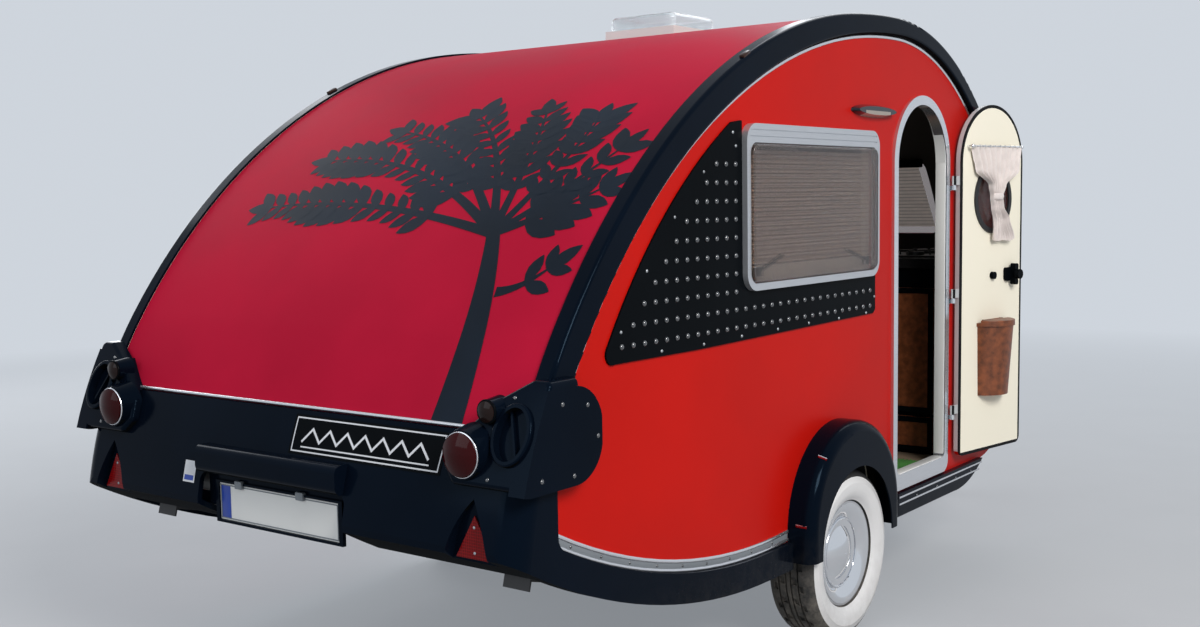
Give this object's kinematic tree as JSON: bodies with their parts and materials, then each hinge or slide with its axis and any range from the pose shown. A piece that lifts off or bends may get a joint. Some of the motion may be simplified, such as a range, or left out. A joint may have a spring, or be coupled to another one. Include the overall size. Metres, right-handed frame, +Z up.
{
  "type": "teardrop trailer",
  "caption": "Small teardrop camping trailer with an open side door, black edge moulding, swept tail with lamp housings and a drawbar.",
  "frame": {"origin": "centre of the ball socket in the coupling head", "axes": "+X the way it is towed, +Y to its left, +Z up; the door is on the right"},
  "size_m": [4.6267, 2.0766, 2.233],
  "materials": {
    "red_panel": "gloss",
    "blue_moulding": "satin",
    "black_plastic": "gloss",
    "black_rubber": "matt",
    "tyre": "matt",
    "wheel_silver": "satin",
    "chrome": "polished",
    "aluminium": "satin",
    "steel": "galvanised",
    "black_metal": "satin",
    "tinted_window": "gloss",
    "clear_dome": "gloss",
    "red_lens": "gloss",
    "dark_lens": "gloss",
    "cream_panel": "satin",
    "floor_board": "matt",
    "wood": "satin",
    "worktop": "gloss",
    "brown_plastic": "matt",
    "cushion": "woven",
    "curtain": "woven",
    "plate": "satin"
  },
  "bodies": {
    "base": {"wall_left": "red_panel", "wall_right": "red_panel", "roof_skin": "red_panel", "floor_pan": "floor_board", "edge_mouldings": "black_plastic", "stud_plates": "black_plastic", "wings": "black_plastic", "lamp_pods": "black_plastic", "rear_handle": "black_plastic", "plate_carrier": "black_plastic", "side_window_frames": "black_plastic", "roof_hatch_frame": "black_plastic", "nose_window_frame": "black_plastic", "rear_bumper": "blue_moulding", "front_skirts": "blue_moulding", "side_window_panes": "tinted_window", "nose_window_pane": "tinted_window", "door_frame": "aluminium", "door_hinge_posts": "aluminium", "number_plate": "plate", "tail_lenses": "red_lens", "reflector_panels": "red_lens", "awning_lamp": "dark_lens", "chassis": "steel", "axle": "steel", "steady_brackets": "steel", "jockey_tube": "steel", "coupling": "black_metal", "handbrake_lever": "black_metal", "wheel_boxes": "cream_panel", "kitchen_cabinet": "wood", "kitchen_fronts": "wood", "seat_base": "wood", "kitchen_worktop": "worktop", "hob": "black_metal", "cushion_left": "cushion", "cushion_right": "cushion", "cushion_rear": "cushion"},
    "wheel_left": {"tyre_left": "tyre", "rim_left": "wheel_silver", "hub_cap_left": "chrome"},
    "wheel_right": {"tyre_right": "tyre", "rim_right": "wheel_silver", "hub_cap_right": "chrome"},
    "door": {"door_leaf": "red_panel", "door_porthole_pane": "tinted_window", "door_porthole_ring": "black_rubber", "door_latch": "black_plastic", "door_bin": "brown_plastic", "door_curtain_rod": "chrome", "door_curtain": "curtain"},
    "bin_lid": {"door_bin_lid": "brown_plastic"},
    "roof_hatch": {"roof_hatch_dome": "clear_dome"},
    "jockey_stem": {"jockey_stem": "steel"},
    "jockey_fork": {"jockey_fork": "steel"},
    "jockey_wheel": {"jockey_wheel": "black_rubber"},
    "steady_front_left": {"steady_front_left": "black_metal"},
    "steady_front_right": {"steady_front_right": "black_metal"},
    "steady_rear_left": {"steady_rear_left": "black_metal"},
    "steady_rear_right": {"steady_rear_right": "black_metal"}
  },
  "joints": [
    {"name": "wheel_left_spin", "type": "hinge", "parent": "base", "child": "wheel_left", "pos_m": [-2.85, 0.8825, -0.125], "axis": [0, 1, 0], "continuous": true},
    {"name": "wheel_right_spin", "type": "hinge", "parent": "base", "child": "wheel_right", "pos_m": [-2.85, -0.8825, -0.125], "axis": [0, 1, 0], "continuous": true},
    {"name": "door_swing", "type": "hinge", "parent": "base", "child": "door", "pos_m": [-1.872, -0.927, 0.69], "axis": [0, 0, 1], "range_deg": [-170, 0]},
    {"name": "roof_hatch_lift", "type": "hinge", "parent": "base", "child": "roof_hatch", "pos_m": [-2.382, 0, 1.767], "axis": [0, 1, 0], "range_deg": [0, 45]},
    {"name": "jockey_height", "type": "slide", "parent": "base", "child": "jockey_stem", "axis": [0, 0, 1], "range_m": [-0.15, 0.075]},
    {"name": "jockey_swivel", "type": "hinge", "parent": "jockey_stem", "child": "jockey_fork", "pos_m": [-0.52, -0.19, -0.17], "axis": [0, 0, 1], "continuous": true},
    {"name": "jockey_wheel_spin", "type": "hinge", "parent": "jockey_fork", "child": "jockey_wheel", "pos_m": [-0.565, -0.19, -0.32], "axis": [0, 1, 0], "continuous": true},
    {"name": "steady_front_left_fold", "type": "hinge", "parent": "base", "child": "steady_front_left", "pos_m": [-2.21, 0.6, -0.063], "axis": [0, 1, 0], "range_deg": [0, 90]},
    {"name": "steady_front_right_fold", "type": "hinge", "parent": "base", "child": "steady_front_right", "pos_m": [-2.21, -0.6, -0.063], "axis": [0, 1, 0], "range_deg": [0, 90]},
    {"name": "steady_rear_left_fold", "type": "hinge", "parent": "base", "child": "steady_rear_left", "pos_m": [-3.96, 0.76, 0.0198], "axis": [0, -1, 0], "range_deg": [0, 105]},
    {"name": "steady_rear_right_fold", "type": "hinge", "parent": "base", "child": "steady_rear_right", "pos_m": [-3.96, -0.76, 0.0198], "axis": [0, -1, 0], "range_deg": [0, 105]},
    {"name": "bin_lid_lift", "type": "hinge", "parent": "door", "child": "bin_lid", "pos_m": [-1.6078, -0.9919, 0.5863], "axis": [-0.9848, 0.1736, 0], "range_deg": [0, 85]}
  ]
}
